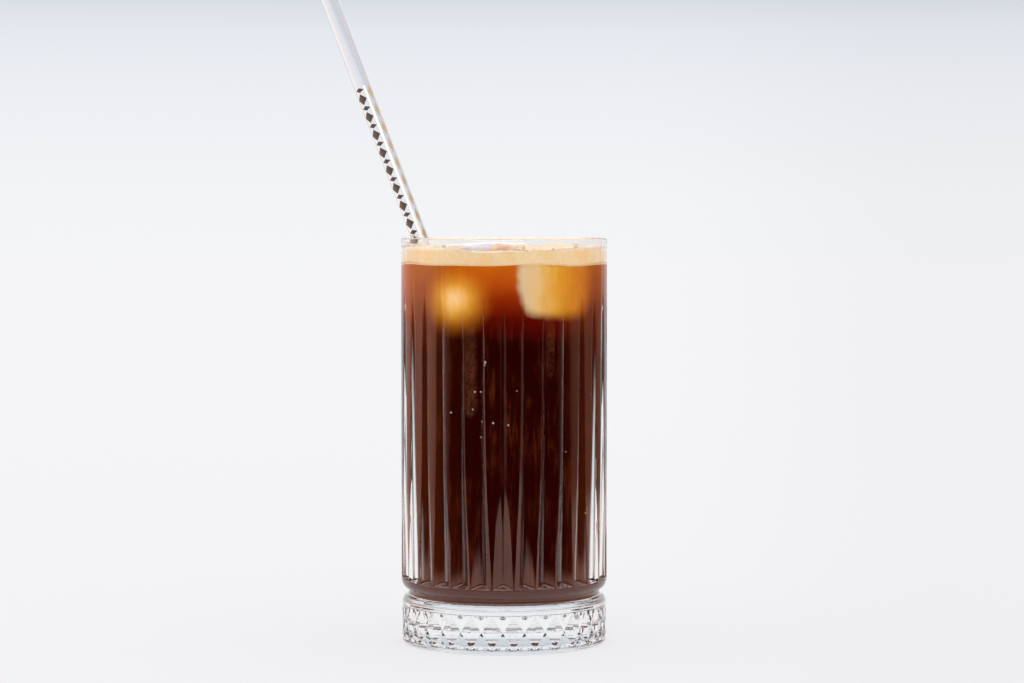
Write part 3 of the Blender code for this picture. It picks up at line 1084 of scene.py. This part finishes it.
class ICED_OT_ice_block(bpy.types.Operator):
    """Model the worn, dented ice block whose top comes out of the crema"""

    bl_idname = "iced.ice_block"
    bl_label = "Ice Block"

    def execute(self, context):
        middle = 0.5 * (ICE_LOW + ICE_HIGH)
        half = 0.5 * (ICE_HIGH - ICE_LOW)
        block = add_block("ice_top", ICE_CUTS, 0.0)
        noise.seed_set(ICE_SEED)

        def wear(co):
            reach = sum(abs(value) ** ICE_SQUARENESS for value in co) ** (1.0 / ICE_SQUARENESS)
            round_co = co * (max(abs(value) for value in co) / reach)
            place = middle + Vector((round_co.x * half.x, round_co.y * half.y, round_co.z * half.z))
            dents = noise.noise_vector(place * 150.0) * 0.0005
            place += dents + noise.noise_vector(place * 420.0) * 0.00018
            if place.z > middle.z:
                place.z -= ICE_FALL * smooth_step(0.3, -1.0, round_co.x) * (place.z - middle.z) / half.z
            return Vector(min(max(value, low), high) for value, low, high in zip(place, ICE_LOW, ICE_HIGH))

        move_vertices(block, wear)
        shade_smooth(block)
        finish_piece(block, ice_finish(), ("ice_block",))
        return {"FINISHED"}


# Bubbles on the crema and drops on the wall

# Bubbles in the open: place and radius
OPEN_BUBBLES = (
    (-0.0049, 0.0006, 0.0011),
    (0.0055, -0.0032, 0.0012),
    (0.0071, 0.0011, 0.0009),
    (-0.0100, -0.0025, 0.0008),
)
BUBBLE_COUNT = 18

# Place by the straw that bubbles keep clear of, and how far
CLEAR_SPOT = (-0.0289, -0.0150)
CLEAR_REACH = 0.0045

# Drops on the wall: angle in degrees, height, size in millimetres
DROPS = (
    (-10.2, 0.1010, 0.38),
    (-15.9, 0.0908, 0.34),
    (-13.0, 0.0908, 0.32),
    (-5.9, 0.0802, 0.34),
    (-30.0, 0.0835, 0.30),
    (-48.5, 0.0300, 0.30),
    (2.2, 0.0795, 0.28),
    (-10.4, 0.1000, 0.26),
)
SMALL_DROP_COUNT = 34


def bead_finish(name, roughness, clearness, grain, spread, first, second):
    """Wet skin of a bubble or a drop, in two tones that a noise mixes."""
    material, tree, shader = new_finish(name, Roughness=roughness, IOR=1.33, Transmission_Weight=clearness)
    tone = remap(tree, noise_texture(tree, object_point(tree), grain), 0.5 - spread, 0.5 + spread)
    tree.links.new(mix(tree, tone, srgb(*first), srgb(*second)), shader.inputs["Base Color"])
    return material


def add_beads(name, places):
    """One piece of small round beads, each given as (centre, radii, turn about the glass's axis)."""
    beads = []
    deselect()
    for centre, radii, turn in places:
        bpy.ops.mesh.primitive_ico_sphere_add(subdivisions=2, radius=1.0)
        bead = bpy.context.object
        place = Matrix.Translation(centre) @ Matrix.Rotation(turn, 4, "Z") @ Matrix.Diagonal((*radii, 1.0))
        bead.data.transform(place)
        beads.append(bead)
    pick(*beads)
    bpy.ops.object.join()
    piece = bpy.context.object
    take_name(piece, name)
    shade_smooth(piece)
    return piece


class ICED_OT_bubbles(bpy.types.Operator):
    """Scatter coffee bubbles on the crema, most of them by the wall and round the ice"""

    bl_idname = "iced.bubbles"
    bl_label = "Bubbles"

    def execute(self, context):
        sizes = context.scene.iced_tumbler
        rolls = random.Random(7)
        wall = wall_radius(sizes, CREMA_LEVEL, 0.0)
        spots = list(OPEN_BUBBLES)
        while len(spots) < BUBBLE_COUNT:
            angle = rolls.uniform(-math.pi, math.pi)
            size = rolls.uniform(0.25, 0.75) * MM
            by_wall = rolls.random() < 0.6
            reach = wall - size - 0.0001 if by_wall else rolls.uniform(0.3, 0.95) * (wall - size)
            x, y = reach * math.sin(angle), -reach * math.cos(angle)
            on_ice = ICE_LOW.x - size < x < ICE_HIGH.x + size and ICE_LOW.y - size < y < ICE_HIGH.y + size
            by_straw = math.hypot(x - CLEAR_SPOT[0], y - CLEAR_SPOT[1]) < CLEAR_REACH + size
            if not on_ice and not by_straw:
                spots.append((x, y, size))
        places = []
        for x, y, size in spots:
            places.append(((x, y, crema_height(x, y) + 0.15 * size), (size, size, 0.8 * size), 0.0))
        skin = bead_finish("bubble_skin", 0.06, 0.55, 220.0, 0.15, (246, 206, 142), (250, 232, 208))
        finish_piece(add_beads("crema_bubbles", places), skin)
        return {"FINISHED"}


class ICED_OT_drops(bpy.types.Operator):
    """Put small water drops on the outside of the glass"""

    bl_idname = "iced.drops"
    bl_label = "Drops"

    def execute(self, context):
        sizes = context.scene.iced_tumbler
        rolls = random.Random(11)
        spots = list(DROPS)
        for _ in range(SMALL_DROP_COUNT):
            degrees, height = rolls.uniform(-180.0, 180.0), rolls.uniform(0.040, 0.120)
            spots.append((degrees, height, rolls.uniform(0.15, 0.30)))
        places = []
        for degrees, height, size in spots:
            angle = math.radians(degrees)
            radius = flute_radius(sizes, angle, height)
            size *= 0.8 * MM
            places.append((polar(radius, angle, height), (size, 0.45 * size, 1.15 * size), angle))
        skin = bead_finish("water_drops", 0.08, 0.35, 300.0, 0.2, (190, 170, 160), (226, 214, 208))
        finish_piece(add_beads("water_drops", places), skin)
        return {"FINISHED"}


# Straw

# Printed marks and a painted highlight: colour, place round the straw and half their width in turns, pitch,
# length in pitches, and how far the first one is shifted. The pale first row is a painted highlight along
# the straw; the dark and the golden rows are one print, painted in shade on the left and lit on the right.
PRINT_AND_HIGHLIGHT = (
    ((236, 230, 210), -0.215, 0.016, 0.0066, 60.0, 0.0),
    ((66, 58, 52), -0.345, 0.100, 0.0066, 0.62, 0.0),
    ((66, 58, 52), -0.330, 0.090, 0.0066, 0.26, 0.0033),
    ((160, 138, 108), -0.125, 0.048, 0.0066, 0.90, 0.0016),
)
PRINT_LOW = 0.1290
PRINT_HIGH = 0.1925
STRAW_COLUMNS = 48
TIP_STEPS = 6

# Where the straw's axis passes the rim, and its distance from the glass
STRAW_RIM_X = -0.0293
GAP = 0.0003


def straw_matrix(sizes, straw):
    """Place of the straw's lower end."""
    reach = sizes.rim_inner - GAP - straw.radius / math.cos(straw.lean)
    side = -math.sqrt(reach**2 - STRAW_RIM_X**2)
    foot_height = sizes.floor_height + GAP + straw.radius * math.sin(straw.lean)
    rise = GLASS_HEIGHT - sizes.lip_round - foot_height
    foot = Vector((STRAW_RIM_X + rise * math.tan(straw.lean), side, foot_height))
    return Matrix.Translation(foot) @ Matrix.Rotation(-straw.lean, 4, "Y")


def straw_finish():
    """Clear straw glass with a plain chain of dark lozenges and golden bars printed on it, the dark ones
    the print in painted shade and the golden ones the print painted lit, with a pale painted highlight
    between them.
    """
    material, tree, shader = new_finish(
        "straw_glass", Roughness=0.0, IOR=1.5, Transmission_Weight=1.0, Base_Color=(0.975, 0.97, 0.985, 1.0)
    )
    chart = add_node(tree, "ShaderNodeUVMap", uv_map="around_and_along").outputs["UV"]
    around, along = sep(tree, chart, "X"), sep(tree, chart, "Y")
    printed_and_highlit = shader.outputs[0]
    # Each row lays a mark of print or of painted highlight over the clear glass.
    for colour, centre, half_angle, pitch, fill, start in PRINT_AND_HIGHLIGHT:
        across = share_of(tree, around, centre, half_angle)
        step = maths(tree, "FRACT", maths(tree, "DIVIDE", maths(tree, "SUBTRACT", along, start), pitch))
        step = maths(tree, "ABSOLUTE", maths(tree, "MULTIPLY_ADD", step, 2.0, -1.0))
        shape = maths(tree, "ADD", maths(tree, "MULTIPLY", step, 1.0 / fill), across)
        mark = maths(tree, "LESS_THAN", shape, 1.0)
        mark = maths(tree, "MULTIPLY", mark, maths(tree, "GREATER_THAN", along, PRINT_LOW))
        mark = maths(tree, "MULTIPLY", mark, maths(tree, "LESS_THAN", along, PRINT_HIGH))
        inputs = {"Base Color": (*srgb(*colour), 1.0), "Roughness": 0.35}
        mark_paint = add_node(tree, "ShaderNodeBsdfPrincipled", inputs)
        printed_and_highlit = blend_shaders(tree, mark, printed_and_highlit, mark_paint.outputs[0])
    show(tree, printed_and_highlit)
    return material


def straw_profile(straw):
    """Closed outline of the tube's wall, with round tips."""
    round_end = 0.5 * (straw.radius - straw.bore)
    middle = straw.bore + round_end
    low, high = round_end, straw.length - round_end

    def tip(end, height):
        points = []
        for step in range(TIP_STEPS + 1):
            turn = math.pi * step / TIP_STEPS
            across, along = round_end * math.cos(turn), round_end * math.sin(turn)
            points.append((middle + end * across, height + end * along))
        return points

    profile = tip(-1.0, low) + [(straw.radius, low + EDGE_ROW), (straw.radius, high - EDGE_ROW)]
    profile += tip(1.0, high) + [(straw.bore, high - EDGE_ROW), (straw.bore, low + EDGE_ROW)]
    return profile + profile[:1]


def chart_tube(mesh, radius):
    """UV map of turns round the tube and metres along it, with all of the bore at nought along."""
    chart = mesh.uv_layers.new(name="around_and_along")
    for face in mesh.polygons:
        corners = [mesh.vertices[vertex].co for vertex in face.vertices]
        turns = [math.atan2(co.y, co.x) / FULL_TURN for co in corners]
        seam = max(turns) - min(turns) > 0.5
        outside = min(co.xy.length for co in corners) > radius - 1e-5
        for loop, turn, co in zip(face.loop_indices, turns, corners):
            around = turn - 1.0 if seam and turn > 0.0 else turn
            chart.data[loop].uv = (around, co.z if outside else 0.0)


class ICED_OT_straw(bpy.types.Operator):
    """Model the glass straw"""

    bl_idname = "iced.straw"
    bl_label = "Straw"

    def execute(self, context):
        sizes = context.scene.iced_tumbler
        straw = context.scene.iced_straw
        tube = turn_piece(
            "glass_straw", straw_profile(straw), STRAW_COLUMNS, 0.0, close_low=False, close_high=False
        )
        change_mesh(tube, lambda bm: bmesh.ops.remove_doubles(bm, verts=bm.verts, dist=1e-6))
        chart_tube(tube.data, straw.radius)
        tube.data.transform(straw_matrix(sizes, straw))
        outwards(tube)
        shade_smooth(tube)
        finish_piece(tube, straw_finish(), ("straw",))
        return {"FINISHED"}


# Studio


def backdrop_colour(tree, elevation):
    """Pale backdrop, cooler towards the top."""
    return ramp(
        tree,
        remap(tree, elevation, -0.02, 0.09, 0.0, 1.0, "LINEAR"),
        [
            (0.0, srgb(245, 245, 247)),
            (0.30, srgb(243, 244, 246)),
            (0.62, srgb(238, 239, 243)),
            (0.85, srgb(229, 233, 239)),
            (1.0, srgb(211, 217, 224)),
        ],
    )


# Room that the glass mirrors, and what it lets through from beyond it
FAR_WALL_ANGLES = (134.0, 148.0)
LEFT_WALL = (1.8, 0.86, 0.62)
RIGHT_WALL = (0.78, 0.34, 0.22)
FAR_WALL = (0.93, 0.93, 0.95)
CEILING = (3.0, 3.0, 3.1)
LEFT_BEYOND = (0.42, 0.27, 0.22)
RIGHT_BEYOND = (0.66, 0.50, 0.44)
FRONT_BEYOND = (0.70, 0.70, 0.72)
NEAR_TABLE = (0.88, 0.90, 0.95)
FAR_TABLE = (1.9, 1.12, 0.92)
FLOOR_COLOUR = (0.63, 0.63, 0.645)
SIDE_LIGHT = 2.2
TOP_LIGHT = 1.0
FLOOR_LIGHT = 1.9
FALLOFF_REACH = 1.0


def by_glass(tree, paths):
    """Whether a ray comes straight from the eye by way of clear or glossy surfaces alone."""
    clear = maths(tree, "MAXIMUM", paths.outputs["Is Glossy Ray"], paths.outputs["Is Transmission Ray"])
    return maths(tree, "MULTIPLY", clear, maths(tree, "LESS_THAN", paths.outputs["Diffuse Depth"], 0.5))


def by_angle(tree, away, low, high, to_low=0.0, to_high=1.0):
    """Value that changes between two angles in degrees from the front."""
    return remap(tree, away, math.radians(low), math.radians(high), to_low, to_high)


def wall_share(tree, away):
    """Brightness of the room's side walls by their angle from the front."""
    start = by_angle(tree, away, 60.0, 66.0, 0.01, 0.34)
    share = maths(tree, "ADD", start, by_angle(tree, away, 68.0, 90.0, 0.0, 0.66))
    return maths(tree, "MULTIPLY", share, by_angle(tree, away, 98.0, 118.0, 1.0, 0.7))


def left_to_right(tree, x, left, right):
    """Colour that changes from the left's to the right's across the middle."""
    return mix(tree, remap(tree, x, -0.1, 0.1), left, right)


def right_falloff(tree, sideways):
    """Slight fall of the backdrop's light towards the right."""
    return remap(tree, sideways, 0.04, 0.16, 1.0, 0.955)


def build_world(scene):
    """Pale backdrop for the eye, a room that is dark at the camera for the glass, and soft light."""
    world = bpy.data.worlds.new("studio")
    scene.world = world
    world.use_nodes = True
    tree = world.node_tree
    tree.nodes.clear()
    direction = add_node(tree, "ShaderNodeTexCoord").outputs["Generated"]
    x, y, z = add_node(tree, "ShaderNodeSeparateXYZ", {0: direction}).outputs
    away = maths(tree, "ABSOLUTE", angle_round(tree, x, y))
    paths = add_node(tree, "ShaderNodeLightPath")
    side = wall_share(tree, away)
    shade = add_node(tree, "ShaderNodeCombineColor", {0: side, 1: side, 2: side}).outputs[0]
    walls = mix(tree, 1.0, left_to_right(tree, x, LEFT_WALL, RIGHT_WALL), shade, "MULTIPLY")
    walls = mix(tree, by_angle(tree, away, *FAR_WALL_ANGLES), walls, FAR_WALL)
    walls = mix(tree, remap(tree, z, 0.35, 0.7), walls, CEILING)
    beyond = left_to_right(tree, x, LEFT_BEYOND, RIGHT_BEYOND)
    beyond = mix(tree, by_angle(tree, away, 75.0, 45.0), beyond, FRONT_BEYOND)
    beyond = mix(tree, by_angle(tree, away, 124.0, 138.0), beyond, backdrop_colour(tree, z))
    mirrored = light_from(tree, "Background", walls, 1.0)
    through = light_from(tree, "Background", beyond, remap(tree, z, 0.3, 0.8, 1.0, 0.80))
    room = blend_shaders(tree, paths.outputs["Is Transmission Ray"], mirrored, through)
    light = remap(tree, z, 0.0, 1.0, SIDE_LIGHT, TOP_LIGHT, "LINEAR")
    unseen = blend_shaders(tree, by_glass(tree, paths), light_from(tree, "Background", WHITE, light), room)
    eye = light_from(tree, "Background", backdrop_colour(tree, z), right_falloff(tree, x))
    final = blend_shaders(tree, paths.outputs["Is Camera Ray"], unseen, eye)
    add_node(tree, "ShaderNodeOutputWorld", {"Surface": final})


def mirrored_table(tree, x, y, distance):
    """What the glass mirrors of the floor: a table that ends at the front, and the room's walls past it."""
    away = maths(tree, "ABSOLUTE", angle_round(tree, x, y))
    past_table = remap(tree, distance, 0.45, 0.65)
    colour = mix(tree, remap(tree, distance, 0.13, 0.22), NEAR_TABLE, FAR_TABLE)
    colour = mix(tree, past_table, colour, left_to_right(tree, x, LEFT_WALL, RIGHT_WALL))
    colour = mix(tree, by_angle(tree, away, *FAR_WALL_ANGLES), colour, FAR_WALL)
    share = remap(tree, y, -0.21, -0.17, 0.01, 1.0)
    share = maths(tree, "MULTIPLY", share, maths(tree, "SUBTRACT", 1.0, past_table))
    share = maths(tree, "MULTIPLY_ADD", wall_share(tree, away), past_table, share)
    return light_from(tree, "Emission", colour, share)


def floor_finish():
    """Pale floor that runs out into the backdrop, and looks like a table where the glass mirrors it."""
    material, tree, shader = new_finish(
        "pale_floor", Roughness=0.3, Specular_IOR_Level=0.0, Base_Color=(*FLOOR_COLOUR, 1.0)
    )
    point = object_point(tree)
    x, y = sep(tree, point, "X"), sep(tree, point, "Y")
    distance = length_of(tree, point)
    sideways = maths(tree, "DIVIDE", x, maths(tree, "ADD", y, FALLOFF_REACH))
    glow = light_from(tree, "Emission", srgb(245, 245, 247), right_falloff(tree, sideways))
    plain = blend_shaders(tree, remap(tree, distance, 0.05, 1.6, 0.70, 1.0), shader.outputs[0], glow)
    paths = add_node(tree, "ShaderNodeLightPath")
    mirrored = maths(tree, "LESS_THAN", paths.outputs["Transmission Depth"], 0.5)
    mirrored = maths(tree, "MULTIPLY", by_glass(tree, paths), mirrored)
    seen = blend_shaders(tree, mirrored, plain, mirrored_table(tree, x, y, distance))
    bounced = maths(tree, "GREATER_THAN", paths.outputs["Diffuse Depth"], 0.5)
    show(tree, blend_shaders(tree, bounced, seen, light_from(tree, "Emission", WHITE, FLOOR_LIGHT)))
    return material


class ICED_OT_stage(bpy.types.Operator):
    """Set up the pale floor, the soft light and the camera"""

    bl_idname = "iced.stage"
    bl_label = "Studio"

    def execute(self, context):
        scene = context.scene
        studio = scene.iced_studio
        deselect()
        bpy.ops.mesh.primitive_circle_add(vertices=96, radius=studio.floor_radius, fill_type="NGON")
        floor = context.object
        floor.name = "pale_floor"
        floor.data.materials.append(floor_finish())
        build_world(scene)
        bpy.ops.object.camera_add(
            location=(0.0, -studio.camera_distance, studio.camera_height),
            rotation=(0.5 * math.pi - studio.camera_pitch, 0.0, -studio.camera_yaw),
        )
        camera = context.object
        camera.data.sensor_width = SENSOR_WIDTH
        camera.data.lens = FOCAL_PIXELS * SENSOR_WIDTH / PICTURE_WIDTH
        camera.data.clip_start = 0.01
        scene.camera = camera
        scene.view_settings.view_transform = "Standard"
        scene.cycles.max_bounces = 24
        scene.cycles.transmission_bounces = 24
        return {"FINISHED"}


class ICED_PT_pieces(bpy.types.Panel):
    """Sizes and pieces of the glass of iced coffee"""

    bl_idname = "ICED_PT_pieces"
    bl_label = "Iced Coffee"
    bl_space_type = "VIEW_3D"
    bl_region_type = "UI"
    bl_category = "Iced Coffee"

    def draw(self, context):
        scene = context.scene
        for group in (scene.iced_tumbler, scene.iced_drink, scene.iced_straw, scene.iced_studio):
            box = self.layout.box()
            for key in group.__annotations__:
                box.prop(group, key)
        for operator in OPERATORS:
            self.layout.operator(operator.bl_idname)


GROUPS = {
    "iced_tumbler": TumblerSizes,
    "iced_drink": DrinkColours,
    "iced_straw": StrawSizes,
    "iced_studio": StudioSizes,
}
OPERATORS = (
    ICED_OT_tumbler,
    ICED_OT_coffee,
    ICED_OT_sunk_ice,
    ICED_OT_crema,
    ICED_OT_ice_block,
    ICED_OT_bubbles,
    ICED_OT_drops,
    ICED_OT_straw,
    ICED_OT_stage,
)


def register():
    """Register the add-on."""
    for cls in (*GROUPS.values(), *OPERATORS, ICED_PT_pieces):
        bpy.utils.register_class(cls)
    for name, group in GROUPS.items():
        setattr(bpy.types.Scene, name, bpy.props.PointerProperty(type=group))


def unregister():
    """Unregister the add-on."""
    for name in GROUPS:
        delattr(bpy.types.Scene, name)
    for cls in reversed((*GROUPS.values(), *OPERATORS, ICED_PT_pieces)):
        bpy.utils.unregister_class(cls)


def main():
    """Make every piece and the stage."""
    register()
    bpy.ops.iced.tumbler()
    bpy.ops.iced.coffee()
    bpy.ops.iced.sunk_ice()
    bpy.ops.iced.crema()
    bpy.ops.iced.ice_block()
    bpy.ops.iced.bubbles()
    bpy.ops.iced.drops()
    bpy.ops.iced.straw()
    bpy.ops.iced.stage()


if __name__ == "__main__":
    main()
